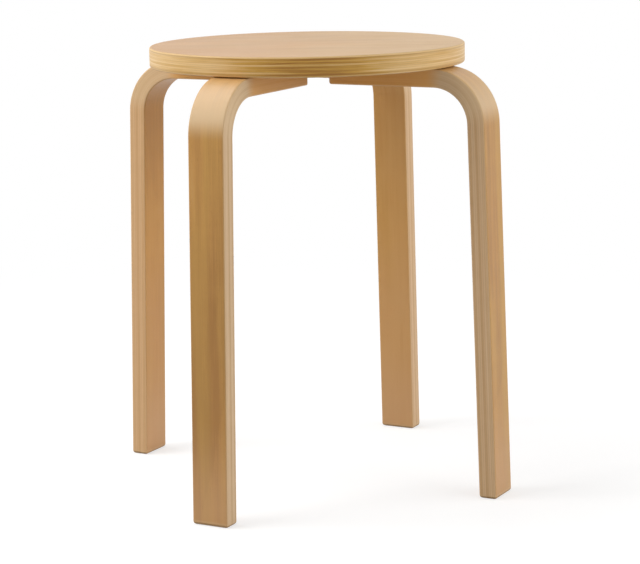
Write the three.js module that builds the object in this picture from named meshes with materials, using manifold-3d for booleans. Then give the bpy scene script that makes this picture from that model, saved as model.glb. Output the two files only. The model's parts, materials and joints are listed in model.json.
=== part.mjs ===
// A stacking stool: a round plywood seat on four legs of bent laminated veneer.
// Each leg is one strip, bent through a right angle. Its upright stands outside the seat's edge,
// and its arm runs under the seat towards the middle, where two bolts hold it.
// Millimetres, +Z up. The origin is on the floor, under the middle of the seat.

import * as THREE from "three";
import { mergeVertices } from "three/addons/utils/BufferGeometryUtils.js";
import Module from "manifold-3d";

// The seat.
const seatHeight = 450; // floor to sitting surface
const seatDiameter = 320;
const seatThickness = 20;
const seatEdgeRadius = 2;

// The legs.
const legWidth = 39;
const legThickness = 18.5;
const legStandOff = 26; // from the seat's edge out to the inner face of an upright, at the bend
const legSplayDegrees = 1.75; // lean of an upright out of the vertical
const bendRadius = 36.5; // inside the bend
const armEndGap = 14.5; // from the end of an arm to the side of the next arm
const arrisRadius = 1.5; // rounding of the long edges
const endRadius = 2; // rounding of the edges across the ends

// The bolts, as button-head screws with a hexagon socket.
const boltDiameter = 6;
const boltTipGap = 4; // from the tip to the bottom of the hole in the seat
const boltTipChamfer = 0.8;
const headOverhang = 2.25; // from the shank to the edge of the head
const headHeight = 3.3;
const headRimHeight = 0.8; // the straight band below the dome
const headCrownShare = 0.55; // flat crown, as a share of the head's radius
const headRecess = 0.5; // from the arm's underside in to the crown
const socketFlats = 4;
const socketDepth = 2.1;
const boltShares = [0.2, 0.7]; // places along the straight of an arm, from its end

// The washers.
const washerThickness = 1.6;
const washerMargin = 0.75; // from the edge of the head to the edge of the washer

// The threaded inserts in the underside of the seat.
const insertWall = 1.7; // from the bore to the tips of the ridges
const insertRidgeHeight = 0.6;
const insertRidges = 4;
const insertFlangeOverhang = 2;
const insertFlangeThickness = 1.2;
const insertEndGap = 1; // from the insert to the bottom of its hole
const insertCover = 6; // wood left above the hole

// Clearances.
const seatingGap = 0.3; // between faces that rest on each other, and round each insert
const threadGap = 0.3; // round the bolt, in the thread of the insert
const washerGap = 0.2; // round the bolt, in the washer
const boltHoleGap = 0.3; // round the bolt, in the arm
const counterboreGap = 0.75; // round the washer, in the arm
const cutOverrun = 3; // how far a cut runs past the face that it opens

// How finely round shapes are drawn.
const seatSteps = 120;
const edgeSteps = 3;
const bendSteps = 16;
const arrisSteps = 2;
const domeSteps = 4;
const turnedSteps = 20;

// Worked out from the sizes above.
const seatRadius = seatDiameter / 2;
const seatUnderside = seatHeight - seatThickness;
const armTop = seatUnderside - seatingGap;
const armUnderside = armTop - legThickness;
const armStart = legWidth / 2 + armEndGap;
const bendCentreRadius = seatRadius + legStandOff - bendRadius;
const bendCentreHeight = armUnderside - bendRadius;
const outerBendRadius = bendRadius + legThickness;
const legSplay = THREE.MathUtils.degToRad(legSplayDegrees);

const boltRadius = boltDiameter / 2;
const headRadius = boltRadius + headOverhang;
const washerRadius = headRadius + washerMargin;
const headTop = armUnderside + headRecess + headHeight;
const washerBottom = headTop + seatingGap;
const counterboreEnd = washerBottom + washerThickness + seatingGap;
const holeDepth = seatThickness - insertCover;
const boltLength = seatUnderside + holeDepth - boltTipGap - headTop;
const boltPlaces = boltShares.map((share) => armStart + share * (bendCentreRadius - armStart));

const insertBore = boltRadius + threadGap;
const insertRadius = insertBore + insertWall;
const insertFlangeRadius = insertRadius + insertFlangeOverhang;
const insertLength = holeDepth - insertEndGap;

const legAngles = {
  front_left: -0.75 * Math.PI,
  front_right: -0.25 * Math.PI,
  rear_right: 0.25 * Math.PI,
  rear_left: 0.75 * Math.PI,
};
const boltNames = ["inner", "outer"];

const wasm = await Module();
wasm.setup();

// A closed geometry as a solid that can be joined and cut.
function solidOf(geometry) {
  const bare = geometry.clone();
  bare.deleteAttribute("normal");
  bare.deleteAttribute("uv");
  const merged = mergeVertices(bare);
  return new wasm.Manifold(
    new wasm.Mesh({
      numProp: 3,
      vertProperties: merged.attributes.position.array,
      triVerts: new Uint32Array(merged.index.array),
    }),
  );
}

// A geometry with one or more closed geometries cut out of it.
function cut(geometry, tools) {
  let solid = solidOf(geometry);
  for (const tool of tools) {
    solid = solid.subtract(solidOf(tool));
  }
  const mesh = solid.getMesh();
  const result = new THREE.BufferGeometry();
  result.setAttribute("position", new THREE.BufferAttribute(mesh.vertProperties, mesh.numProp));
  result.setIndex(new THREE.BufferAttribute(mesh.triVerts, 1));
  return result;
}

// A solid of revolution about Z. Each point of the profile is [radius, height], going up the outside.
function turned(profile, steps) {
  const points = profile.map(([radius, height]) => new THREE.Vector2(radius, height));
  return new THREE.LatheGeometry(points, steps).rotateX(Math.PI / 2);
}

// A round cutter about Z, from one height to another.
function drill(radius, bottom, top) {
  const profile = [
    [0, bottom],
    [radius, bottom],
    [radius, top],
    [0, top],
  ];
  return turned(profile, turnedSteps);
}

// The points of an arc about a centre, from one angle to another.
function arc(centre, radius, from, to, steps) {
  return Array.from({ length: steps + 1 }, (_, step) => {
    const angle = from + ((to - from) * step) / steps;
    return [centre[0] + radius * Math.cos(angle), centre[1] + radius * Math.sin(angle)];
  });
}

// A polygon's outline with each corner rounded by an arc of its own radius.
// Each corner is { at: [x, y], radius, steps }, counterclockwise or clockwise alike.
function roundedOutline(corners) {
  const count = corners.length;
  return corners.flatMap(({ at, radius, steps }, index) => {
    const corner = new THREE.Vector2(...at);
    const before = new THREE.Vector2(...corners[(index + count - 1) % count].at);
    const after = new THREE.Vector2(...corners[(index + 1) % count].at);
    const toBefore = before.sub(corner).normalize();
    const toAfter = after.sub(corner).normalize();
    const halfAngle = Math.acos(toBefore.dot(toAfter)) / 2;
    const bisector = toBefore.clone().add(toAfter).normalize();
    const centre = corner.clone().addScaledVector(bisector, radius / Math.sin(halfAngle));
    const tangent = radius / Math.tan(halfAngle);
    const start = corner.clone().addScaledVector(toBefore, tangent).sub(centre);
    const end = corner.clone().addScaledVector(toAfter, tangent).sub(centre);
    const turn = Math.atan2(start.cross(end), start.dot(end));
    const points = arc([centre.x, centre.y], radius, start.angle(), start.angle() + turn, steps);
    return points.map(([x, y]) => new THREE.Vector2(x, y));
  });
}

// How far from the middle of the stool a face of the upright is at a height.
// The face is given by its distance from the centre of the bend.
function uprightRadius(faceRadius, height) {
  const drop = bendCentreHeight - height;
  return bendCentreRadius + (faceRadius + drop * Math.sin(legSplay)) / Math.cos(legSplay);
}

// The seat's disc, with eased edges and a stepped blind hole for each insert.
function seatGeometry() {
  const lowEdge = [seatRadius - seatEdgeRadius, seatUnderside + seatEdgeRadius];
  const highEdge = [seatRadius - seatEdgeRadius, seatHeight - seatEdgeRadius];
  const disc = turned(
    [
      [0, seatUnderside],
      ...arc(lowEdge, seatEdgeRadius, -Math.PI / 2, 0, edgeSteps),
      ...arc(highEdge, seatEdgeRadius, 0, Math.PI / 2, edgeSteps),
      [0, seatHeight],
    ],
    seatSteps,
  );
  const flangeRoom = insertFlangeThickness + seatingGap;
  const holes = Object.values(legAngles).flatMap((angle) =>
    boltPlaces.flatMap((place) => {
      const bottom = seatUnderside - cutOverrun;
      const bore = drill(insertRadius + seatingGap, bottom, seatUnderside + holeDepth);
      const recess = drill(insertFlangeRadius + seatingGap, bottom, seatUnderside + flangeRoom);
      const x = place * Math.cos(angle);
      const y = place * Math.sin(angle);
      return [bore.translate(x, y, 0), recess.translate(x, y, 0)];
    }),
  );
  return cut(disc, holes);
}

// One leg, lying along +X: its side outline carried across its width, with rounded long edges.
function legGeometry() {
  const outline = roundedOutline([
    { at: [armStart, armUnderside], radius: endRadius, steps: edgeSteps },
    { at: [uprightRadius(bendRadius, armUnderside), armUnderside], radius: bendRadius, steps: bendSteps },
    { at: [uprightRadius(bendRadius, 0), 0], radius: endRadius, steps: edgeSteps },
    { at: [uprightRadius(outerBendRadius, 0), 0], radius: endRadius, steps: edgeSteps },
    { at: [uprightRadius(outerBendRadius, armTop), armTop], radius: outerBendRadius, steps: bendSteps },
    { at: [armStart, armTop], radius: endRadius, steps: edgeSteps },
  ]);
  const depth = legWidth - 2 * arrisRadius;
  const strip = new THREE.ExtrudeGeometry(new THREE.Shape(outline), {
    depth,
    bevelThickness: arrisRadius,
    bevelSize: arrisRadius,
    bevelOffset: -arrisRadius,
    bevelSegments: arrisSteps,
  });
  strip.translate(0, 0, -depth / 2).rotateX(Math.PI / 2);
  const holes = boltPlaces.flatMap((place) => {
    const bottom = armUnderside - cutOverrun;
    const boltHole = drill(boltRadius + boltHoleGap, bottom, armTop + cutOverrun);
    const counterbore = drill(washerRadius + counterboreGap, bottom, counterboreEnd);
    return [boltHole.translate(place, 0, 0), counterbore.translate(place, 0, 0)];
  });
  return cut(strip, holes);
}

// A bolt on the Z axis: the bearing face of its head at zero, and its shank going up.
function boltGeometry() {
  const crownRadius = headRadius * headCrownShare;
  const domeHeight = headHeight - headRimHeight;
  const dome = Array.from({ length: domeSteps + 1 }, (_, step) => {
    const angle = (Math.PI / 2) * (1 - step / domeSteps);
    const radius = crownRadius + (headRadius - crownRadius) * Math.cos(angle);
    return [radius, -headRimHeight - domeHeight * Math.sin(angle)];
  });
  const bolt = turned(
    [
      [0, -headHeight],
      ...dome,
      [headRadius, 0],
      [boltRadius, 0],
      [boltRadius, boltLength - boltTipChamfer],
      [boltRadius - boltTipChamfer, boltLength],
      [0, boltLength],
    ],
    turnedSteps,
  );
  const socketRadius = socketFlats / Math.sqrt(3);
  const socketLength = socketDepth + cutOverrun;
  const socket = new THREE.CylinderGeometry(socketRadius, socketRadius, socketLength, 6);
  socket.rotateX(Math.PI / 2).translate(0, 0, socketDepth - headHeight - socketLength / 2);
  return cut(bolt, [socket]);
}

// A washer on the Z axis, with its lower face at zero.
function washerGeometry() {
  const bore = boltRadius + washerGap;
  const profile = [
    [bore, 0],
    [washerRadius, 0],
    [washerRadius, washerThickness],
    [bore, washerThickness],
    [bore, 0],
  ];
  return turned(profile, turnedSteps);
}

// A threaded insert on the Z axis: its flange at zero, and its ridged sleeve going up.
function insertGeometry() {
  const coreRadius = insertRadius - insertRidgeHeight;
  const pitch = (insertLength - insertFlangeThickness) / insertRidges;
  const ridges = Array.from({ length: insertRidges }, (_, ridge) => {
    const start = insertFlangeThickness + ridge * pitch;
    return [
      [insertRadius, start + pitch / 2],
      [coreRadius, start + pitch],
    ];
  });
  const profile = [
    [insertBore, 0],
    [insertFlangeRadius, 0],
    [insertFlangeRadius, insertFlangeThickness],
    [coreRadius, insertFlangeThickness],
    ...ridges.flat(),
    [insertBore, insertLength],
    [insertBore, 0],
  ];
  return turned(profile, turnedSteps);
}

const seatVeneer = { color: 0xcda676, roughness: 0.42, metalness: 0 };
const legVeneer = { color: 0xc69a64, roughness: 0.42, metalness: 0 };
const zincPlate = { color: 0xb4b6b8, roughness: 0.3, metalness: 1 };
const insertSteel = { color: 0xa9a088, roughness: 0.38, metalness: 1 };

// A named piece with a material of its own.
function piece(name, geometry, finish, height = 0, along = 0) {
  const mesh = new THREE.Mesh(geometry, new THREE.MeshStandardMaterial(finish));
  mesh.name = name;
  mesh.position.set(along, 0, height);
  return mesh;
}

const stool = new THREE.Group();
stool.add(piece("seat", seatGeometry(), seatVeneer));

const shapes = {
  leg: legGeometry(),
  bolt: boltGeometry(),
  washer: washerGeometry(),
  insert: insertGeometry(),
};

// Each leg, with its fasteners, is turned to its own corner.
for (const [corner, angle] of Object.entries(legAngles)) {
  const quarter = new THREE.Group();
  quarter.rotation.z = angle;
  quarter.add(piece(`leg_${corner}`, shapes.leg, legVeneer));
  boltPlaces.forEach((place, index) => {
    const end = `${corner}_${boltNames[index]}`;
    quarter.add(piece(`bolt_${end}`, shapes.bolt, zincPlate, headTop, place));
    quarter.add(piece(`washer_${end}`, shapes.washer, zincPlate, washerBottom, place));
    quarter.add(piece(`insert_${end}`, shapes.insert, insertSteel, seatUnderside, place));
  });
  stool.add(quarter);
}

export default stool;
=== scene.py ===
"""A round stacking stool of plywood and bent veneer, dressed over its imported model.

Metres, +Z up. The origin is on the floor, under the middle of the seat.
"""

import json
import math

import bpy
import numpy as np
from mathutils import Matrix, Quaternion, Vector

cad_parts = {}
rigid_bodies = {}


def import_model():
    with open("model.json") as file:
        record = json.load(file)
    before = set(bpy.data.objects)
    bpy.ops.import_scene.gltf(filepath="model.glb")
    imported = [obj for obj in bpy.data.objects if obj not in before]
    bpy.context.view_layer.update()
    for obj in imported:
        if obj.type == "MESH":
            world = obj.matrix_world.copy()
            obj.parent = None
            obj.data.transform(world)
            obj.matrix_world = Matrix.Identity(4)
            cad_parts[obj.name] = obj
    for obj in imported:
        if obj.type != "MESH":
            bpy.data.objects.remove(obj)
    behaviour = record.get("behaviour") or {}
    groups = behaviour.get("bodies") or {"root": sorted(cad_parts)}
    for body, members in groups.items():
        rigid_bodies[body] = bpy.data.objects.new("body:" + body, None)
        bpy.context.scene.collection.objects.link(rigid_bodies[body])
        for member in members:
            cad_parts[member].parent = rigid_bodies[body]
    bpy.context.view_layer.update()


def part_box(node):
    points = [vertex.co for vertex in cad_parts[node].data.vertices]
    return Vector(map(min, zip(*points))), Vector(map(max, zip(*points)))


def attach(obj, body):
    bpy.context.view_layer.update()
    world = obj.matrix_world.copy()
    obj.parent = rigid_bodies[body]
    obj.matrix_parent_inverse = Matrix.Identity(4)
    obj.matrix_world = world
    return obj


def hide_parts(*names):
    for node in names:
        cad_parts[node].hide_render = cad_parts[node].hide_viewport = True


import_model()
scene = bpy.context.scene


# The camera stands where the photograph was taken from, and its long lens fills the frame with the stool.
# Its small roll is the lean that the edge of the photograph gives to what lies away from its middle.

camera_place = Vector((-0.631, -2.125, 0.629))
camera_aim = Vector((0.0084, -0.0025, 0.2027))
camera_roll = math.radians(-1.07)
camera_lens = 122.4
camera_sensor = 36.0

camera = bpy.data.objects.new("camera", bpy.data.cameras.new("camera"))
scene.collection.objects.link(camera)
scene.camera = camera
camera.location = camera_place
facing = (camera_aim - camera_place).to_track_quat("-Z", "Y")
camera.rotation_euler = (facing @ Quaternion((0, 0, 1), camera_roll)).to_euler()
camera.data.lens = camera_lens
camera.data.sensor_width = camera_sensor


# The seat is a disc sawn from birch plywood of eleven plies laid crosswise in turn, its edges eased by
# sanding. Its faces are rotary-cut veneer under clear satin lacquer. Stepped blind holes, bored from
# below, take the flange and the sleeve of each insert.

seat_edge_radius = 0.002
seat_plies = 11
seat_grain_turn = math.radians(16.5)
seat_steps_around = 288
hole_steps_around = 48
edge_steps = 6
flat_band = 0.0006  # the last narrow band of a flat face, which keeps its shading flat up to a rounding
sharp_angle = 32
insert_gap = 0.0003
insert_end_gap = 0.001
insert_flange = 0.0012
insert_flange_overhang = 0.002
overrun = 0.003

# Colours are in linear light, and three in a row go from dark to light. Two depths or reaches in a row
# say how far from a face or an edge, in metres, a change in the wood starts and ends.
seat_veneer_colours = ((0.37, 0.194, 0.054), (0.48, 0.278, 0.094), (0.59, 0.382, 0.160))
seat_blush_colour = (0.53, 0.250, 0.074)
seat_cut_colours = ((0.36, 0.155, 0.018), (0.60, 0.329, 0.056), (0.785, 0.530, 0.240))
seat_glue_colour = (0.24, 0.110, 0.025)
# The outer ply's colour is also the painted highlight on the upper ply, and the sanded colour is also the
# painted highlight on the upper arris.
outer_ply_and_highlight_colour = (0.76, 0.53, 0.23)
second_ply_colour = (0.34, 0.155, 0.028)
seat_sanded_and_highlight_colour = (0.72, 0.52, 0.28)
face_veneer_depths = (0.0002, 0.0009)
outer_ply_depths = (0.0015, 0.0019)
second_ply_depths = (0.0026, 0.0034)
seat_sanded_reach = (0.0008, 0.0021)
rim_line_sway = 0.010
wood_relief_depth = 0.00004
wood_ior = 1.48
lacquer_weight = 0.15
lacquer_roughness = 0.30
lacquer_ior = 1.5

corners = ("front_left", "front_right", "rear_right", "rear_left")
ends = [f"{corner}_{end}" for corner in corners for end in ("inner", "outer")]
seat_low, seat_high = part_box("seat")
seat_radius = (seat_high.x - seat_low.x) / 2
seat_ply = (seat_high.z - seat_low.z) / seat_plies
seat_middle = (seat_high.z + seat_low.z) / 2
# The upper half, whose outer ply and arris are painted paler: a painted highlight of light from above.
painted_top_light_zone = (seat_middle - 0.001, seat_middle + 0.001)


def arc(centre, radius, start, stop, steps):
    """Points at equal angles on an arc: the centre plus the radius times the angle's cosine and sine."""
    angle = np.linspace(math.radians(start), math.radians(stop), steps + 1)
    return np.stack([centre[0] + radius * np.cos(angle), centre[1] + radius * np.sin(angle)], -1)


def rings_about_z(radius, height):
    """Rings on the Z axis: at each equal angle, a point at its own radius and at its ring's height."""
    angle = np.linspace(0, 2 * math.pi, radius.shape[1], endpoint=False)
    return np.stack([radius * np.cos(angle), radius * np.sin(angle), height + 0 * radius], -1)


def revolved(profile, around, centre=(0.0, 0.0)):
    """Rings about a vertical axis: each (radius, height) of the profile turned through equal angles."""
    radius, height = np.asarray(profile, float).T[:, :, None]
    return rings_about_z(radius * np.ones(around), height) + (*centre, 0.0)


def plan_middle(low, high):
    """The middle of a box as seen from above."""
    return (low.x + high.x) / 2, (low.y + high.y) / 2


def skin(rings, loop=False):
    """Points and outward faces of a stack of closed rings, each joined to the next by four-sided faces.

    A stack that is a loop joins its last ring to its first. Any other is closed by fans to the middle of
    its end rings. The sign of the volume, the sum of each face's share, shows whether faces point out.
    """
    count, around, _ = rings.shape
    row, column = np.meshgrid(np.arange(count if loop else count - 1), np.arange(around), indexing="ij")
    here = row * around
    above = (row + 1) % count * around
    beside = (column + 1) % around
    quads = np.stack([here + column, here + beside, above + beside, above + column], -1).reshape(-1, 4)
    points = rings.reshape(-1, 3)
    fans = np.zeros((0, 3), int)
    if not loop:
        first = np.arange(around)
        second = (first + 1) % around
        last = (count - 1) * around
        middle = np.full(around, count * around)
        lower = np.stack([second, first, middle], -1)
        upper = np.stack([last + first, last + second, middle + 1], -1)
        fans = np.concatenate([lower, upper])
        points = np.concatenate([points, rings[[0, -1]].mean(axis=1)])
    triangles = np.concatenate([quads[:, [0, 1, 2]], quads[:, [0, 2, 3]], fans])
    a, b, c = (points[triangles[:, corner]] for corner in range(3))
    faces = quads.tolist() + fans.tolist()
    if np.einsum("ij,ij->i", a, np.cross(b, c)).sum() < 0:
        faces = [face[::-1] for face in faces]
    return points, faces


def new_piece(name, rings, loop=False):
    """An object at the origin whose mesh is the skin of the rings."""
    points, faces = skin(rings, loop)
    mesh = bpy.data.meshes.new(name)
    mesh.from_pydata(points.tolist(), [], faces)
    piece = bpy.data.objects.new(name, mesh)
    scene.collection.objects.link(piece)
    return piece


def drilled(piece, tools):
    """Cuts the tools, a list of ring stacks, out of the piece, and keeps the result as its plain mesh."""
    drills = bpy.data.collections.new("drills")
    scene.collection.children.link(drills)
    for number, rings in enumerate(tools):
        drill = new_piece(f"drill_{number}", rings)
        scene.collection.objects.unlink(drill)
        drills.objects.link(drill)
    cut = piece.modifiers.new("cut", "BOOLEAN")
    cut.operand_type = "COLLECTION"
    cut.collection = drills
    cut.solver = "EXACT"
    whole = piece.evaluated_get(bpy.context.evaluated_depsgraph_get())
    piece.data = bpy.data.meshes.new_from_object(whole)
    piece.modifiers.clear()
    for drill in list(drills.objects):
        bpy.data.objects.remove(drill)
    bpy.data.collections.remove(drills)


def finished(piece, material, node):
    """Gives a piece its material and smooth shading, hangs it on the root body, and hides the node it
    stands for.
    """
    piece.data.materials.clear()
    piece.data.materials.append(material)
    piece.data.polygons.foreach_set("use_smooth", np.ones(len(piece.data.polygons), bool))
    piece.data.set_sharp_from_angle(angle=math.radians(sharp_angle))
    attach(piece, "root")
    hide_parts(node)


class Shade:
    """One output of a material's node tree. Arithmetic on shades and numbers adds Math nodes."""

    def __init__(self, tree, socket=None):
        self.tree = tree
        self.socket = socket

    def make(self, kind, settings=None, inputs=None, output=0):
        """A new node: first its settings are set, then its sockets' values or links, by name or number."""
        node = self.tree.nodes.new(kind)
        for name, value in (settings or {}).items():
            if name == "stops":
                ramp = node.color_ramp
                while len(ramp.elements) < len(value):
                    ramp.elements.new(1.0)
                for stop, (position, colour) in zip(ramp.elements, value):
                    stop.position = position
                    stop.color = (*colour, 1.0)
            else:
                setattr(node, name, value)
        for name, value in (inputs or {}).items():
            if isinstance(value, Shade):
                self.tree.links.new(value.socket, node.inputs[name])
            else:
                node.inputs[name].default_value = value
        return Shade(self.tree, node.outputs[output])

    def math(self, operation, *values):
        """A Math node on this shade and others."""
        return self.make("ShaderNodeMath", {"operation": operation}, dict(enumerate((self, *values))))

    def __add__(self, other):
        return self.math("ADD", other)

    __radd__ = __add__

    def __mul__(self, other):
        return self.math("MULTIPLY", other)

    __rmul__ = __mul__

    def __sub__(self, other):
        return self.math("SUBTRACT", other)

    def __rsub__(self, other):
        return self.make("ShaderNodeMath", {"operation": "SUBTRACT"}, {0: other, 1: self})

    def __truediv__(self, other):
        return self.math("DIVIDE", other)

    def parts(self):
        """The three parts of a vector."""
        split = self.make("ShaderNodeSeparateXYZ", inputs={"Vector": self}).socket.node
        return [Shade(self.tree, split.outputs[axis]) for axis in range(3)]

    def step(self, start, stop):
        """A smooth rise from 0 at start to 1 at stop."""
        inputs = {"Value": self, "From Min": start, "From Max": stop}
        return self.make("ShaderNodeMapRange", {"interpolation_type": "SMOOTHSTEP"}, inputs)

    def noise(self, per_metre, detail=2.0, seed=0.0):
        """Noise about zero, at a vector multiplied by three frequencies and moved by a seed."""
        at = self.make("ShaderNodeVectorMath", {"operation": "MULTIPLY"}, {0: self, 1: per_metre})
        at = self.make("ShaderNodeVectorMath", {"operation": "ADD"}, {0: at, 1: (seed, seed, seed)})
        inputs = {"Vector": at, "Scale": 1.0, "Detail": detail, "Roughness": 0.55}
        return self.make("ShaderNodeTexNoise", {"noise_dimensions": "3D"}, inputs) - 0.5

    def ramp(self, dark, middle, light):
        """A colour from dark at 0 through its middle at 0.5 to light at 1."""
        stops = ((0.0, dark), (0.5, middle), (1.0, light))
        return self.make("ShaderNodeValToRGB", {"stops": stops}, {"Fac": self})

    def mixed(self, other, factor):
        """This colour with another mixed in by a factor.

        Sockets 6 and 7 of the node are its two colours, and its third output is the mixed one.
        """
        if not isinstance(other, Shade):
            other = (*other, 1.0)
        settings = {"data_type": "RGBA", "clamp_factor": True}
        return self.make("ShaderNodeMix", settings, {0: factor, 6: self, 7: other}, output=2)


def new_material(name):
    """A material with a Principled surface: its tree's first shade, and that surface."""
    material = bpy.data.materials.new(name)
    material.use_nodes = True
    return material, Shade(material.node_tree), material.node_tree.nodes["Principled BSDF"]


def dressed(surface, colour, roughness, relief, depth):
    """Feeds a surface its colour, its roughness, and a bump from a relief and its depth in metres."""
    links = colour.tree.links
    links.new(colour.socket, surface.inputs["Base Color"])
    links.new(roughness.socket, surface.inputs["Roughness"])
    bump = colour.make("ShaderNodeBump", inputs={"Height": relief, "Strength": 1.0, "Distance": depth})
    links.new(bump.socket, surface.inputs["Normal"])


def lacquered(surface):
    """Sets the clear satin lacquer over wood: a thin coat on a surface that is itself a little glossy."""
    surface.inputs["IOR"].default_value = wood_ior
    surface.inputs["Coat Weight"].default_value = lacquer_weight
    surface.inputs["Coat Roughness"].default_value = lacquer_roughness
    surface.inputs["Coat IOR"].default_value = lacquer_ior


def veneer_grain(at, lines, wander):
    """The tone and the relief of veneer whose fibres run along the first axis of a vector in metres.

    Growth lines are the contours of a slope across the grain that a slow noise bends. Streaks, fibres,
    pores and flecks are noises drawn out along the grain, and the mottle is drawn out across it. The three
    numbers of a noise are its waves per metre along, across and through the sheet. The tone and the relief
    are sums of these, each by the weight with which it shows in birch.
    """
    across = at.parts()[1]
    slow = at.noise((1.6, 8.0, 60.0), detail=1.0, seed=7.0)
    patch = at.noise((7.0, 18.0, 60.0), detail=2.0, seed=8.0)
    ripple = at.noise((11.0, 55.0, 60.0), detail=2.0, seed=9.0)
    ring = (across * lines + slow * wander + ripple * 0.6).math("FRACT")
    growth = ring.step(0.15, 0.90) * (1.0 - ring.step(0.90, 1.0)) * (patch + 0.5)
    streak = at.noise((4.0, 150.0, 150.0), detail=3.0, seed=1.0)
    fibre = at.noise((24.0, 1100.0, 1100.0), detail=2.0, seed=3.0)
    pores = at.noise((230.0, 4200.0, 4200.0), detail=0.0, seed=5.0).step(0.13, 0.24)
    flecks = at.noise((75.0, 520.0, 520.0), detail=1.0, seed=13.0).step(0.24, 0.32)
    mottle = at.noise((48.0, 15.0, 60.0), detail=1.0, seed=15.0)
    tone = 0.535 + slow * 0.30 + patch * 0.50 + ripple * 0.42 + streak * 0.72 + fibre * 0.44
    tone = tone + mottle * 0.16 - growth * 0.17 - pores * 0.15 - flecks * 0.28
    relief = fibre * 0.9 + streak * 0.4 - pores * 0.8
    return tone, relief


def ply_cut(depth, ply, at):
    """The number, the own tint and the glue line of the plies that a cut through the board shows.

    The depth through the plies, divided by one ply, gives the number of the ply and the place in it. The
    glue lies where the place is near 0 or 1, and a fine noise frays it.
    """
    plies = depth / ply
    number = plies.math("FLOOR")
    tint = number.make("ShaderNodeTexWhiteNoise", {"noise_dimensions": "1D"}, {"W": number}) - 0.5
    frayed = at.noise((90.0, 90.0, 90.0), detail=2.0, seed=11.0)
    glue = ((plies.math("FRACT") - 0.5).math("ABSOLUTE") + frayed * 0.12).step(0.40, 0.50)
    return number, tint, glue


seat_wood, here, seat_surface = new_material("birch_plywood")
place = here.make("ShaderNodeTexCoord", output="Object")
place = here.make("ShaderNodeMapping", inputs={"Vector": place, "Rotation": (0.0, 0.0, seat_grain_turn)})
east, north, height = place.parts()

# The two faces. East is along their grain. The veneer is lighter to the east and south, and redder to
# the west.
face_tone, face_relief = veneer_grain(place, lines=10.0, wander=9.0)
face_tone = face_tone + (east - 0.03) * 1.2 - north * 0.7
veneer = face_tone.ramp(*seat_veneer_colours)
blush = (place.noise((5.0, 9.0, 5.0), detail=1.0, seed=21.0) - east * 2.4).step(-0.18, 0.40)
veneer = veneer.mixed(seat_blush_colour, blush * 0.48)

# The plies on the rim and in the bores. A ply is darker where its fibres end on the rim, and streaks and
# broad bands sway along it. To the east and west, where the rim turns aside, it is painted paler and its
# lines fainter: a painted sheen of grazing reflection and side light, to which the end-on share adds a
# little. The outermost ply is pale, and the upper one is painted paler still, a painted highlight of
# light from above. The next one in is dark.
outward = (east * east + north * north).math("SQRT")
from_face = (height - seat_low.z).math("MINIMUM", seat_high.z - height)
cut_through = from_face.step(*face_veneer_depths)
number, tint, glue = ply_cut(height - seat_low.z, seat_ply, place)
crosswise = (number / 2.0).math("FRACT") * 2.0
end_on_and_side_sheen = (east / outward).math("POWER", 2.0)
end_grain = crosswise * (1.0 - end_on_and_side_sheen) + (1.0 - crosswise) * end_on_and_side_sheen
sway = place.noise((9.0, 9.0, 40.0), detail=1.0, seed=27.0) * rim_line_sway
swayed = here.make("ShaderNodeCombineXYZ", inputs={"X": east, "Y": north, "Z": height + sway})
streaks = swayed.noise((18.0, 18.0, 620.0), detail=3.0, seed=13.0)
bands = swayed.noise((7.0, 7.0, 190.0), detail=1.0, seed=43.0)
speckle = place.noise((1500.0, 1500.0, 1500.0), detail=1.0, seed=15.0)
shift = place.noise((14.0, 14.0, 90.0), detail=1.0, seed=29.0)
painted_rim_sheen = (east / outward + 0.05).math("ABSOLUTE").step(0.08, 0.60)
line_strength = 1.20 - painted_rim_sheen * 0.50 - end_on_and_side_sheen * 0.20
cut_tone = 0.46 + painted_rim_sheen * 0.47 + end_on_and_side_sheen * 0.10 + (streaks * 1.25 + bands * 1.05) * line_strength
cut_tone = cut_tone + tint * 0.25 + shift * 0.40 + speckle * 0.15 - end_grain * 0.30
edge = cut_tone.ramp(*seat_cut_colours).mixed(seat_glue_colour, glue * 0.42)
outer_ply = 1.0 - from_face.step(*outer_ply_depths)
second_ply = (1.0 - outer_ply) * (1.0 - from_face.step(*second_ply_depths))
painted_top_light = height.step(*painted_top_light_zone)
edge = edge.mixed(outer_ply_and_highlight_colour, outer_ply * (0.08 + painted_top_light * 0.37))
edge = edge.mixed(second_ply_colour, second_ply * 0.40)

# The sanded arris between face and rim, paler from sanding, and painted paler still above than below: a
# painted highlight of light from above.
from_rim = (seat_radius - outward).math("MAXIMUM", from_face)
arris = 1.0 - from_rim.step(*seat_sanded_reach)
arris_and_highlight_colour = edge.mixed(seat_sanded_and_highlight_colour, 0.30 + painted_top_light * 0.70)
seat_colour = veneer.mixed(edge, cut_through).mixed(arris_and_highlight_colour, arris * 0.30)
seat_rough = 0.43 + face_relief * 0.08 + cut_through * 0.05 + arris * 0.05 + shift * 0.10
seat_relief = face_relief * (1.0 - cut_through) + cut_through * (streaks * 1.4 + speckle - glue * 0.8)
dressed(seat_surface, seat_colour, seat_rough, seat_relief, wood_relief_depth)
lacquered(seat_surface)

eased = seat_radius - seat_edge_radius
face_shares = np.array([0.06, 0.3, 0.6, 0.85])
lower_face = [(share * eased, seat_low.z) for share in face_shares]
upper_face = [(share * eased, seat_high.z) for share in face_shares[::-1]]
lower_edge = arc((eased, seat_low.z + seat_edge_radius), seat_edge_radius, -90, 0, edge_steps)
upper_edge = arc((eased, seat_high.z - seat_edge_radius), seat_edge_radius, 0, 90, edge_steps)
lower_band = [(eased - flat_band, seat_low.z)]
upper_band = [(eased - flat_band, seat_high.z)]
seat_profile = np.concatenate([lower_face, lower_band, lower_edge, upper_edge, upper_band, upper_face])
seat = new_piece("seat_disc", revolved(seat_profile, seat_steps_around))

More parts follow.
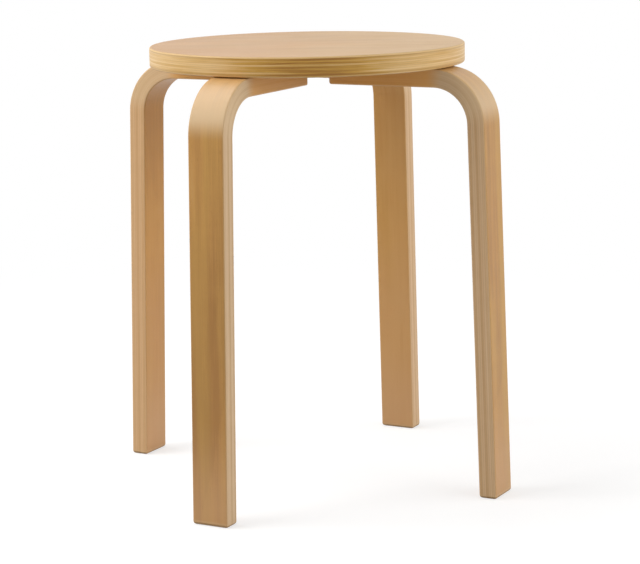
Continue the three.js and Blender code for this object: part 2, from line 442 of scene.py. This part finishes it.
seat_holes = []
for end in ends:
    low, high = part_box(f"insert_{end}")
    recess_radius = (high.x - low.x) / 2 + insert_gap
    sleeve_radius = recess_radius - insert_flange_overhang
    recess_end = low.z + insert_flange + insert_gap
    hole = [
        (recess_radius, low.z - overrun),
        (recess_radius, recess_end),
        (sleeve_radius, recess_end),
        (sleeve_radius, high.z + insert_end_gap),
    ]
    seat_holes.append(revolved(hole, hole_steps_around, plan_middle(low, high)))
drilled(seat, seat_holes)
finished(seat, seat_wood, "seat")


# A leg is nine birch veneers glued in a bent mould, all with their grain along the strip, then sawn to
# width, sanded round at its long edges and ends, and lacquered. Clearance holes up through the arm have
# counterbores from below, which hide the bolt heads and washers. The foot is a bare flat cut.

leg_width = 0.039
leg_thickness = 0.0185
leg_splay = math.radians(1.75)
leg_stand_off = 0.026
leg_plies = 9
bend_radius = 0.0365
arris_radius = 0.0015
arris_steps = 5
leg_end_radius = 0.003
arm_end_gap = 0.0145
arm_steps = 24
bend_steps = 48
upright_steps = 39
washer_gap = 0.00075
bolt_hole_gap = 0.0003
seating_gap = 0.0003
bore_chamfer = 0.0005
bolt_radius = 0.003

leg_veneer_colours = ((0.39, 0.178, 0.036), (0.58, 0.298, 0.072), (0.70, 0.430, 0.155))
leg_blush_colour = (0.61, 0.285, 0.078)
golden_streak_colour = (0.58, 0.345, 0.070)
# The next three colours are painted bounce light: warm from the wood around on the inner face, and pale
# from the floor low down and near the foot.
painted_inner_bounce_colour = (0.72, 0.335, 0.060)
painted_low_bounce_colour = (0.60, 0.330, 0.210)
painted_foot_bounce_colour = (0.67, 0.385, 0.195)
# The bend's face colour is partly a painted highlight of light from above.
bend_face_and_highlight_colour = (0.75, 0.540, 0.315)
leg_cut_colours = ((0.50, 0.286, 0.114), (0.67, 0.448, 0.242), (0.77, 0.570, 0.350))
leg_glue_colour = (0.32, 0.160, 0.050)
warm_side_colour = (0.74, 0.395, 0.150)
# The bend's side colour is partly a painted highlight, and the colour after it is painted warm shade under
# the seat.
bend_side_and_highlight_colour = (0.78, 0.570, 0.330)
painted_seat_shadow_colour = (0.84, 0.410, 0.078)
leg_end_colours = ((0.25, 0.120, 0.035), (0.42, 0.235, 0.085), (0.55, 0.34, 0.145))
end_glue_colour = (0.15, 0.075, 0.025)
leg_sanded_colour = (0.70, 0.48, 0.25)
leg_sanded_reach = (0.0006, 0.0016)
end_grain_reach = (0.0004, 0.0014)
sanded_end_reach = (0.0022, 0.0038)
# How far the grain of one leg lies from the next one's: along it, across it, and in rows of streaks.
leg_grain_shift = (2.7, 0.31)
leg_streak_shift = 40.0
# Each leg's own tone, which on the front right leg is partly painted shade, how warm its sides are, and
# the depth, place and half length of a darker stretch.
leg_tones_and_shade = {
    "front_left": (-0.05, 0.0, 0.42, 0.43, 0.13),
    "front_right": (-0.16, 0.3, 0.10, 0.30, 0.08),
    "rear_right": (0.45, 0.4, 0.12, 0.18, 0.06),
    "rear_left": (0.01, 0.8, 0.14, 0.24, 0.07),
}

leg_angles = dict(zip(corners, np.radians((-135, -45, 45, 135))))
arm_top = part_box("leg_front_left")[1].z
arm_underside = arm_top - leg_thickness
bend_centre = (seat_radius + leg_stand_off - bend_radius, arm_underside - bend_radius)
arm_start = leg_width / 2 + arm_end_gap
bend_middle = bend_radius + leg_thickness / 2
bend_turn = math.pi / 2 - leg_splay
leg_ply = leg_thickness / leg_plies
arm_length = bend_centre[0] - arm_start
bend_end = arm_length + bend_turn * bend_middle
strip_length = bend_end + bend_centre[1] / math.cos(leg_splay)

# Where a change in the wood or in its painted light and shade starts and ends: along the strip from the
# arm's end, or through its plies.
bend_start_zone = (arm_length - 0.030, arm_length - 0.005)
bend_end_zone = (bend_end - 0.018, bend_end + 0.003)
painted_lower_bend_light_zone = (arm_length + 0.010, bend_end - 0.010)
painted_seat_shadow_zone = (arm_length - 0.009, arm_length + 0.012)
painted_foot_bounce_zone = (strip_length - 0.11, strip_length - 0.01)
painted_low_bounce_zone = (strip_length - 0.26, strip_length - 0.13)
inner_to_outer_face = (0.4 * leg_thickness, 0.6 * leg_thickness)


def strip_section():
    """The points round a strip's section as (across, level): a rectangle with rounded corners.

    The level is the distance from the bend's centre. Beside each rounded corner, a point on the flat
    keeps the shading of the flat face flat.
    """
    across = leg_width / 2 - arris_radius
    level = leg_thickness / 2 - arris_radius
    points = []
    for corner, (side, face) in enumerate(((1, 1), (-1, 1), (-1, -1), (1, -1))):
        start = 90 * corner
        turn = arc((side * across, face * level), arris_radius, start, start + 90, arris_steps)
        along_first = np.round((turn[0] - turn[1]) / np.abs(turn[0] - turn[1]).max())
        along_last = np.round((turn[-1] - turn[-2]) / np.abs(turn[-1] - turn[-2]).max())
        points += [turn[0] + flat_band * along_first, *turn, turn[-1] + flat_band * along_last]
    return np.array(points) + (0, bend_middle)


def upright_radius(level, height):
    """How far from the stool's axis a layer of the upright is at a height.

    The layer is a line that leans by the splay and lies at its level from the centre of the bend.
    """
    drop = bend_centre[1] - height
    return bend_centre[0] + (level + drop * math.sin(leg_splay)) / math.cos(leg_splay)


def leg_rings():
    """The strip's section carried along the arm, round the bend and down the upright.

    On the arm a point lies its level above the bend's centre. In the bend it turns about that centre at
    its level. On the upright it follows its leaning line to the floor. At both ends the section shrinks
    towards its middle by a quarter circle of the end radius.
    """
    across, level = strip_section().T
    turn = np.linspace(0, math.pi / 2, edge_steps)
    inset = leg_end_radius * (1 - np.cos(turn))[:, None]
    inward = leg_end_radius * (1 - np.sin(turn))[:, None]
    narrowed = across * (1 - inset / (leg_width / 2))
    thinned = bend_middle + (level - bend_middle) * (1 - inset / (leg_thickness / 2))

    arm_end = [arm_start + inward + 0 * across, narrowed, bend_centre[1] + thinned]
    arm_end = [part[::-1] for part in arm_end]
    run = np.linspace(arm_start + leg_end_radius + flat_band, bend_centre[0], arm_steps)[:, None]
    arm = [run + 0 * across, across + 0 * run, bend_centre[1] + level + 0 * run]
    angle = (math.pi / 2 - np.linspace(0, bend_turn, bend_steps + 1)[1:])[:, None]
    radial = bend_centre[0] + level * np.cos(angle)
    bend = [radial, across + 0 * angle, bend_centre[1] + level * np.sin(angle)]
    share = np.linspace(0, 1, upright_steps + 1)[1:, None]
    upright_top = bend_centre[1] + level * math.sin(leg_splay)
    height = upright_top * (1 - share) + (leg_end_radius + flat_band) * share
    upright = [upright_radius(level, height), across + 0 * share, height]
    foot = [upright_radius(thinned, inward), narrowed, inward + 0 * across]
    return np.concatenate([np.stack(part, -1) for part in (arm_end, arm, bend, upright, foot)])


def turned_about_z(points, angle):
    """Points turned about the vertical axis by an angle."""
    x, y = points[..., 0], points[..., 1]
    cosine, sine = math.cos(angle), math.sin(angle)
    return np.stack([x * cosine - y * sine, x * sine + y * cosine, points[..., 2]], -1)


def strip_place(points, angle):
    """Where each point lies in its strip: along it from the arm's end, across it, and through its plies.

    The point is turned back to the strip's own plane. On the arm its run is its distance from the bend, in
    the bend the turned angle times the middle radius, and on the upright the fall along the lean.
    """
    radial, across, height = turned_about_z(points, -angle).T
    out, up = radial - bend_centre[0], height - bend_centre[1]
    angle_left = np.arctan2(up, out)
    zones = [out < 0, angle_left > leg_splay]
    fall = out * math.sin(leg_splay) - up * math.cos(leg_splay)
    lean_level = out * math.cos(leg_splay) + up * math.sin(leg_splay)
    run = np.select(zones, [out, (math.pi / 2 - angle_left) * bend_middle], bend_turn * bend_middle + fall)
    level = np.select(zones, [up, np.hypot(out, up)], lean_level)
    return np.stack([run + arm_length, across, level - bend_radius], -1)


leg_wood, here, leg_surface = new_material("bent_birch")
strip = here.make("ShaderNodeAttribute", {"attribute_name": "strip_place"}, output="Vector")
leg_number, leg_tone, leg_warmth = (
    here.make("ShaderNodeAttribute", {"attribute_name": name}, output="Fac")
    for name in ("leg_number", "leg_tone", "leg_warmth")
)
along, across, depth = strip.parts()
along_shift, across_shift = (leg_number * shift for shift in leg_grain_shift)
apart = here.make("ShaderNodeCombineXYZ", inputs={"X": along_shift, "Y": across_shift})
place = here.make("ShaderNodeVectorMath", {"operation": "ADD"}, {0: strip, 1: apart})

# The inner and the outer face. A blush and golden streaks vary the veneer. The inner face is painted
# redder, painted warm bounce light from the wood around it, and its lower part is painted greyer, and
# both faces are painted paler near the foot: painted bounce light from the floor.
face_tone, face_relief = veneer_grain(place, lines=30.0, wander=9.0)
veneer = (face_tone + leg_tone).ramp(*leg_veneer_colours)
blush = place.noise((4.0, 22.0, 5.0), detail=1.0, seed=23.0).step(-0.10, 0.35)
golden = place.noise((3.5, 48.0, 5.0), detail=1.0, seed=45.0).step(-0.04, 0.22)
veneer = veneer.mixed(leg_blush_colour, blush * 0.36).mixed(golden_streak_colour, golden * 0.34)
inner_face = 1.0 - depth.step(*inner_to_outer_face)
painted_low_bounce = along.step(*painted_low_bounce_zone) * inner_face
painted_foot_bounce = along.step(*painted_foot_bounce_zone)
veneer = veneer.mixed(painted_inner_bounce_colour, inner_face * 0.40)
veneer = veneer.mixed(painted_low_bounce_colour, painted_low_bounce * 0.20).mixed(painted_foot_bounce_colour, painted_foot_bounce * 0.46)

# The plies on the two sides. Streaks run in each ply, with dark glue between them.
from_face = depth.math("MINIMUM", leg_thickness - depth)
cut_through = from_face.step(*face_veneer_depths)
number, tint, glue = ply_cut(depth, leg_ply, place)
streak_row = number + leg_number * leg_streak_shift
layer = here.make("ShaderNodeCombineXYZ", inputs={"X": along, "Y": streak_row, "Z": depth})
streaks = layer.noise((8.0, 3.7, 900.0), detail=3.0, seed=17.0)
speckle = place.noise((300.0, 1500.0, 1500.0), detail=1.0, seed=19.0)
cut_tone = 0.54 + tint * 0.50 + streaks * 0.75 + speckle * 0.15
edge = cut_tone.ramp(*leg_cut_colours)
edge = edge.mixed(warm_side_colour, leg_warmth * 0.60).mixed(leg_glue_colour, glue * 0.48)

# The end grain of the foot and of the arm's end.
from_end = along.math("MINIMUM", strip_length - along)
end_face = 1.0 - from_end.step(*end_grain_reach)
end_arris = 1.0 - from_end.step(*sanded_end_reach)
end_pores = place.noise((400.0, 1700.0, 1700.0), detail=2.0, seed=25.0)
end_tone = 0.50 + tint * 0.5 + end_pores * 0.9
end_colour = end_tone.ramp(*leg_end_colours).mixed(end_glue_colour, glue * 0.6)

# Round the bend the outer face is pale, partly a paler veneer and partly a painted highlight of light
# from above. It is painted palest below, where the curve turns from the light, and less pale on a leg
# with warm sides. The sides are pale there too, by the same partly painted highlight, and along the arm
# under the seat they are painted redder: painted warm shade of the seat. Sanded arrises are paler all
# round.
on_bend = along.step(*bend_start_zone) * (1.0 - along.step(*bend_end_zone))
painted_lower_bend_light = along.step(*painted_lower_bend_light_zone)
bend_pallor_and_highlight = (1.0 - inner_face) * (0.26 + painted_lower_bend_light * 0.62 - leg_warmth * 0.45)
veneer = veneer.mixed(bend_face_and_highlight_colour, on_bend * bend_pallor_and_highlight)
painted_seat_shadow = 1.0 - along.step(*painted_seat_shadow_zone)
edge = edge.mixed(bend_side_and_highlight_colour, on_bend * 0.50).mixed(painted_seat_shadow_colour, painted_seat_shadow * 0.75)
from_side = (leg_width / 2 - across.math("ABSOLUTE")).math("MAXIMUM", from_face)
arris = 1.0 - from_side.step(*leg_sanded_reach)
leg_colour = veneer.mixed(edge, cut_through).mixed(leg_sanded_colour, arris * 0.28)
leg_colour = leg_colour.mixed(leg_sanded_colour, end_arris * 0.30).mixed(end_colour, end_face)
leg_rough = 0.42 + face_relief * 0.08 + cut_through * 0.05 + arris * 0.05 + end_face * 0.15
cut_relief = streaks * 0.8 + speckle * 0.6 - glue * 0.8
leg_relief = face_relief * (1.0 - cut_through) + cut_through * cut_relief + end_face * end_pores
dressed(leg_surface, leg_colour, leg_rough, leg_relief, wood_relief_depth)
lacquered(leg_surface)


def mesh_points(piece):
    """The points of a piece's mesh, one in a row."""
    points = np.zeros(len(piece.data.vertices) * 3)
    piece.data.vertices.foreach_get("co", points)
    return points.reshape(-1, 3)


def kept_on_points(piece, name, values):
    """Keeps a number or a place for each point of a piece's mesh, for its material to read by name."""
    kind, field = ("FLOAT_VECTOR", "vector") if values.ndim == 2 else ("FLOAT", "value")
    piece.data.attributes.new(name, kind, "POINT").data.foreach_set(field, values.ravel())


for number, (corner, angle) in enumerate(leg_angles.items(), 1):
    leg = new_piece(f"leg_strip_{corner}", turned_about_z(leg_rings(), angle))
    bolt_holes = []
    for end in ("inner", "outer"):
        low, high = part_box(f"washer_{corner}_{end}")
        counterbore = (high.x - low.x) / 2 + washer_gap
        seat_of_washer = high.z + seating_gap
        hole = [
            (counterbore + bore_chamfer + overrun, arm_underside - overrun),
            (counterbore, arm_underside + bore_chamfer),
            (counterbore, seat_of_washer),
            (bolt_radius + bolt_hole_gap, seat_of_washer),
            (bolt_radius + bolt_hole_gap, arm_top + overrun),
        ]
        bolt_holes.append(revolved(hole, hole_steps_around, plan_middle(low, high)))
    drilled(leg, bolt_holes)
    spots = strip_place(mesh_points(leg), angle)
    tone, warmth, dip, dip_place, dip_reach = leg_tones_and_shade[corner]
    tones = tone - dip * np.exp(-(((spots[:, 0] - dip_place) / dip_reach) ** 2))
    kept_on_points(leg, "strip_place", spots)
    kept_on_points(leg, "leg_number", number + 0 * tones)
    kept_on_points(leg, "leg_tone", tones)
    kept_on_points(leg, "leg_warmth", warmth + 0 * tones)
    finished(leg, leg_wood, f"leg_{corner}")


# The bolts are eight M6 ones with button heads and hexagon sockets, cold-headed from steel wire, rolled
# to thread and plated with bright zinc. Each goes up through a washer and an arm into the insert in the
# seat.

bolt_pitch = 0.001
bolt_thread_depth = 0.0006
bolt_neck = 0.0012
bolt_tip_chamfer = 0.0008
bolt_steps_around = 48
rows_per_pitch = 10
head_height = 0.0033
head_rim = 0.0008
head_crown_share = 0.55
head_edge = 0.0002
socket_flats = 0.004
socket_depth = 0.0021
socket_chamfer = 0.00025
socket_floor_share = 0.9
dome_steps = 8
thread_slope = 2.6
thread_crest = 0.3
plate_relief_depth = 0.00001


def hexagon(flats, around):
    """The radius of a hexagon at equal angles.

    It is half the width over the flats, over the cosine of the angle from the nearest flat's middle.
    """
    angle = np.linspace(0, 2 * math.pi, around, endpoint=False)
    from_flat = (angle + math.pi / 6) % (math.pi / 3) - math.pi / 6
    return flats / 2 / np.cos(from_flat)


def thread_groove(height, around, pitch):
    """How deep a thread is cut at each height and angle, from 0 on its crest to 1 in its root.

    The height over the pitch, less the angle over a full turn, gives the place in the groove. The groove
    falls evenly to its root in the middle and rises again, and leaves a narrow flat on the crest.
    """
    angle = np.linspace(0, 1, around, endpoint=False)
    place = (height[:, None] / pitch - angle) % 1.0
    return np.clip((0.5 - np.abs(place - 0.5)) * thread_slope - thread_crest, 0, 1)


def bolt_rings(length, head_radius):
    """A bolt on the Z axis, from its socket's floor, round its head and up its threaded shank to its tip.

    Each ring has a radius at every angle: a hexagon in the socket, a circle on the head, and on the shank
    the bolt's radius less the groove's depth. The groove fades in over two turns from the neck, and the
    tip's cone caps the radius.
    """
    circle = np.ones(bolt_steps_around)
    socket = hexagon(socket_flats, bolt_steps_around)
    mouth = socket_flats / math.sqrt(3) + socket_chamfer
    crown = head_crown_share * head_radius
    dome = np.linspace(math.pi / 2, 0, dome_steps + 1)
    dome_radius = crown + (head_radius - crown) * np.cos(dome)
    dome_height = -head_rim - (head_height - head_rim) * np.sin(dome)
    head = [
        (socket * socket_floor_share, socket_depth - head_height),
        (socket, socket_depth - head_height),
        (socket, socket_chamfer - head_height),
        (mouth * circle, -head_height),
        *((radius * circle, height) for radius, height in zip(dome_radius, dome_height)),
        (head_radius * circle, -head_edge),
        ((head_radius - head_edge) * circle, 0.0),
        ((bolt_radius + head_edge) * circle, 0.0),
        (bolt_radius * circle, head_edge),
    ]
    rows = int(round((length - bolt_neck) / bolt_pitch * rows_per_pitch))
    height = np.linspace(bolt_neck, length, rows + 1)
    fade = np.clip((height - bolt_neck) / (2 * bolt_pitch), 0, 1)[:, None]
    groove = thread_groove(height, bolt_steps_around, bolt_pitch) * fade
    cone = bolt_radius + np.minimum(length - bolt_tip_chamfer - height, 0)[:, None]
    shank = np.minimum(bolt_radius - bolt_thread_depth * groove, cone)
    radius = np.concatenate([np.stack([ring for ring, _ in head]), shank])
    height = np.concatenate([[level for _, level in head], height])[:, None]
    return rings_about_z(radius, height)


def plated(name, deep, pale, tinge, tinge_share, roughness):
    """Zinc plate on turned or stamped steel: fine rings about the axis, clouds and a passivation tinge.

    It reads where each point lies from the middle of its own piece, so that the rings follow the axis.
    """
    material, here, surface = new_material(name)
    own = here.make("ShaderNodeAttribute", {"attribute_name": "own_place"}, output="Vector")
    x, y, _ = own.parts()
    radius = (x * x + y * y).math("SQRT")
    around = here.make("ShaderNodeCombineXYZ", inputs={"X": radius})
    rings = around.noise((9000.0, 0.0, 0.0), detail=2.0, seed=31.0)
    cloud = own.noise((420.0, 420.0, 420.0), detail=3.0, seed=33.0)
    grit = own.noise((5200.0, 5200.0, 5200.0), detail=1.0, seed=35.0)
    colour = (0.5 + cloud * 0.9 + rings * 0.3).ramp(deep, [(a + b) / 2 for a, b in zip(deep, pale)], pale)
    colour = colour.mixed(tinge, cloud.step(-0.05, 0.20) * tinge_share)
    rough = roughness + cloud * 0.20 + grit * 0.08
    dressed(surface, colour, rough, rings * 0.6 + grit * 0.5, plate_relief_depth)
    surface.inputs["Metallic"].default_value = 1.0
    return material


bright_zinc = plated(
    "bright_zinc",
    deep=(0.50, 0.51, 0.53),
    pale=(0.74, 0.75, 0.76),
    tinge=(0.62, 0.66, 0.72),
    tinge_share=0.5,
    roughness=0.30,
)

for end in ends:
    low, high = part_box(f"bolt_{end}")
    head_radius = (high.x - low.x) / 2
    bearing = low.z + head_height
    middle = np.array([*plan_middle(low, high), bearing])
    bolt = new_piece(f"button_bolt_{end}", bolt_rings(high.z - bearing, head_radius) + middle)
    kept_on_points(bolt, "own_place", mesh_points(bolt) - middle)
    finished(bolt, bright_zinc, f"bolt_{end}")


# The washers are eight plain M6 ones, stamped from steel strip and plated with bright zinc. The punch
# rolls one outer edge over and leaves the other nearly sharp. Each lies under a bolt head at the bottom
# of a counterbore.

washer_bore = 0.0032
washer_roll = 0.0004
washer_burr = 0.0001
washer_steps_around = 64

for end in ends:
    low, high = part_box(f"washer_{end}")
    rim = (high.x - low.x) / 2
    middle = np.array([*plan_middle(low, high), low.z])
    thickness = high.z - low.z
    profile = [
        (washer_bore, washer_burr),
        (washer_bore + washer_burr, 0.0),
        *arc((rim - washer_roll, washer_roll), washer_roll, -90, 0, edge_steps),
        (rim, thickness - washer_burr),
        (rim - washer_burr, thickness),
        (washer_bore + washer_roll, thickness),
        (washer_bore, thickness - washer_roll),
    ]
    washer = new_piece(f"flat_washer_{end}", revolved(profile, washer_steps_around) + middle, loop=True)
    kept_on_points(washer, "own_place", mesh_points(washer) - middle)
    finished(washer, bright_zinc, f"washer_{end}")


# The threaded inserts are eight steel sleeves, yellow-passivated, screwed into the underside of the seat
# by their coarse outer thread until the flange lies flush. The bore has the bolt's thread, and below it
# a hexagon for the driver.

insert_thread_depth = 0.0006
insert_turns = 4
insert_rows_per_turn = 20
insert_bore = 0.0033
insert_bore_crest = 0.0002
driver_flats = 0.0068
driver_depth = 0.0025
insert_steps_around = 60

yellow_zinc = plated(
    "yellow_zinc",
    deep=(0.44, 0.36, 0.20),
    pale=(0.70, 0.62, 0.42),
    tinge=(0.52, 0.56, 0.44),
    tinge_share=0.6,
    roughness=0.34,
)


def insert_rings(length, flange_radius):
    """An insert on the Z axis as one loop, up its bore, down its outer thread and round its flange.

    The bore is a hexagon up to the driver's depth and then a circle less the fine thread's crest. The
    outside is the sleeve's radius less the coarse groove, whose crests rise over half a turn from the
    inner end.
    """
    circle = np.ones(insert_steps_around)
    sleeve = flange_radius - insert_flange_overhang
    driver = hexagon(driver_flats, insert_steps_around)
    rows = int(round((length - driver_depth) / bolt_pitch * rows_per_pitch))
    bore_height = np.linspace(driver_depth, length, rows + 1)
    bore_groove = thread_groove(bore_height, insert_steps_around, bolt_pitch)
    bore = insert_bore - insert_bore_crest * (1 - bore_groove)
    coarse_pitch = (length - insert_flange) / insert_turns
    outer_height = np.linspace(length, insert_flange, insert_turns * insert_rows_per_turn + 1)
    fade = np.clip((length - outer_height) / (coarse_pitch / 2), 0, 1)[:, None]
    groove = thread_groove(outer_height, insert_steps_around, coarse_pitch)
    outside = sleeve - insert_thread_depth * (1 - (1 - groove) * fade)
    flange = [
        (flange_radius * circle, insert_flange),
        (flange_radius * circle, head_edge),
        ((flange_radius - head_edge) * circle, 0.0),
        (driver + head_edge, 0.0),
        (driver, head_edge),
        (driver, driver_depth),
    ]
    radius = np.concatenate([bore, outside, np.stack([ring for ring, _ in flange])])
    height = np.concatenate([bore_height, outer_height, [level for _, level in flange]])[:, None]
    return rings_about_z(radius, height)


for end in ends:
    low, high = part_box(f"insert_{end}")
    middle = np.array([*plan_middle(low, high), low.z])
    rings = insert_rings(high.z - low.z, (high.x - low.x) / 2)
    insert = new_piece(f"insert_sleeve_{end}", rings + middle, loop=True)
    kept_on_points(insert, "own_place", mesh_points(insert) - middle)
    finished(insert, yellow_zinc, f"insert_{end}")


# The floor, the backdrop and the light. A plain white floor runs into a white surround, so that only the
# stool's soft shadow shows on it. From below it is clear, so that the underside can be looked at. An even
# surround and five soft lamps light the stool.

surround_light = 0.35
floor_grey = (0.45, 0.45, 0.45, 1.0)
floor_seen_glow = 0.62
floor_white_from = 0.45
floor_white_to = 1.30
floor_reach = 9.0
floor_drop = 0.0001  # keeps the floor's face apart from the feet's
lamp_target = Vector((0, 0, 0.28))
lamp_distance = 2.4
# Two lamps, high and low, stand at the stool's left, one before its left, one at its right, and a weak
# one high behind it. Each has its bearing from the camera's own, its elevation, its width and height in
# metres, its watts, and whether gloss shows it, since the seat's gloss would glare with the low ones.
lamps = {
    "high": (-105, 62, 1.4, 1.4, 18.0, True),
    "low": (-105, 14, 2.8, 1.0, 8.5, False),
    "left": (-75, 35, 1.4, 1.4, 27.5, False),
    "right": (75, 17, 3.0, 1.5, 35.0, False),
    "behind": (-165, 62, 1.4, 1.4, 5.0, True),
}


def white_to_the_eye(shade):
    """1 for rays from the camera, from gloss and through glass, and 0 for rays that light the stool."""
    path = shade.make("ShaderNodeLightPath").socket.node
    camera_ray, glossy_ray, through_ray = (
        Shade(shade.tree, path.outputs[f"Is {kind} Ray"]) for kind in ("Camera", "Glossy", "Transmission")
    )
    return camera_ray.math("MAXIMUM", glossy_ray).math("MAXIMUM", through_ray)


floor_material = bpy.data.materials.new("white_floor")
floor_material.use_nodes = True
floor_tree = floor_material.node_tree
floor_tree.nodes.clear()
here = Shade(floor_tree)
east, north, _ = here.make("ShaderNodeTexCoord", output="Object").parts()
far_off = (east * east + north * north).math("SQRT").step(floor_white_from, floor_white_to)
plain = here.make("ShaderNodeBsdfDiffuse", inputs={"Color": floor_grey})
glow = here.make("ShaderNodeEmission", inputs={"Strength": floor_seen_glow})
shadowed = here.make("ShaderNodeAddShader", inputs={0: plain, 1: glow})
white = here.make("ShaderNodeEmission", inputs={"Strength": 1.0})
seen = here.make("ShaderNodeMixShader", inputs={0: far_off, 1: shadowed, 2: white})
seen_below = here.make("ShaderNodeNewGeometry", output="Backfacing")
clear = here.make("ShaderNodeBsdfTransparent")
seen = here.make("ShaderNodeMixShader", inputs={0: seen_below, 1: seen, 2: clear})
mixed = here.make("ShaderNodeMixShader", inputs={0: white_to_the_eye(here), 1: plain, 2: seen})
floor_output = floor_tree.nodes.new("ShaderNodeOutputMaterial")
floor_tree.links.new(mixed.socket, floor_output.inputs["Surface"])

floor_mesh = bpy.data.meshes.new("floor")
floor_square = ((-1, -1), (1, -1), (1, 1), (-1, 1))
floor_corners = [(x * floor_reach, y * floor_reach, -floor_drop) for x, y in floor_square]
floor_mesh.from_pydata(floor_corners, [], [(0, 1, 2, 3)])
floor_mesh.materials.append(floor_material)
floor = bpy.data.objects.new("floor", floor_mesh)
scene.collection.objects.link(floor)

world = bpy.data.worlds.new("surround")
scene.world = world
world.use_nodes = True
here = Shade(world.node_tree)
strength = surround_light + white_to_the_eye(here) * (1.0 - surround_light)
background = world.node_tree.nodes["Background"]
background.inputs["Color"].default_value = (1.0, 1.0, 1.0, 1.0)
world.node_tree.links.new(strength.socket, background.inputs["Strength"])

camera_bearing = math.atan2(camera_place.y, camera_place.x)
for name, (bearing, elevation, width, tall, watts, shown) in lamps.items():
    lamp = bpy.data.objects.new(f"lamp_{name}", bpy.data.lights.new(f"lamp_{name}", "AREA"))
    lamp.data.shape = "RECTANGLE"
    lamp.data.size = width
    lamp.data.size_y = tall
    lamp.data.energy = watts
    lamp.visible_glossy = shown
    turn = camera_bearing + math.radians(bearing)
    rise = math.radians(elevation)
    away = Vector((math.cos(rise) * math.cos(turn), math.cos(rise) * math.sin(turn), math.sin(rise)))
    lamp.location = lamp_target + lamp_distance * away
    lamp.rotation_euler = away.to_track_quat("Z", "Y").to_euler()
    scene.collection.objects.link(lamp)

scene.view_settings.view_transform = "Standard"
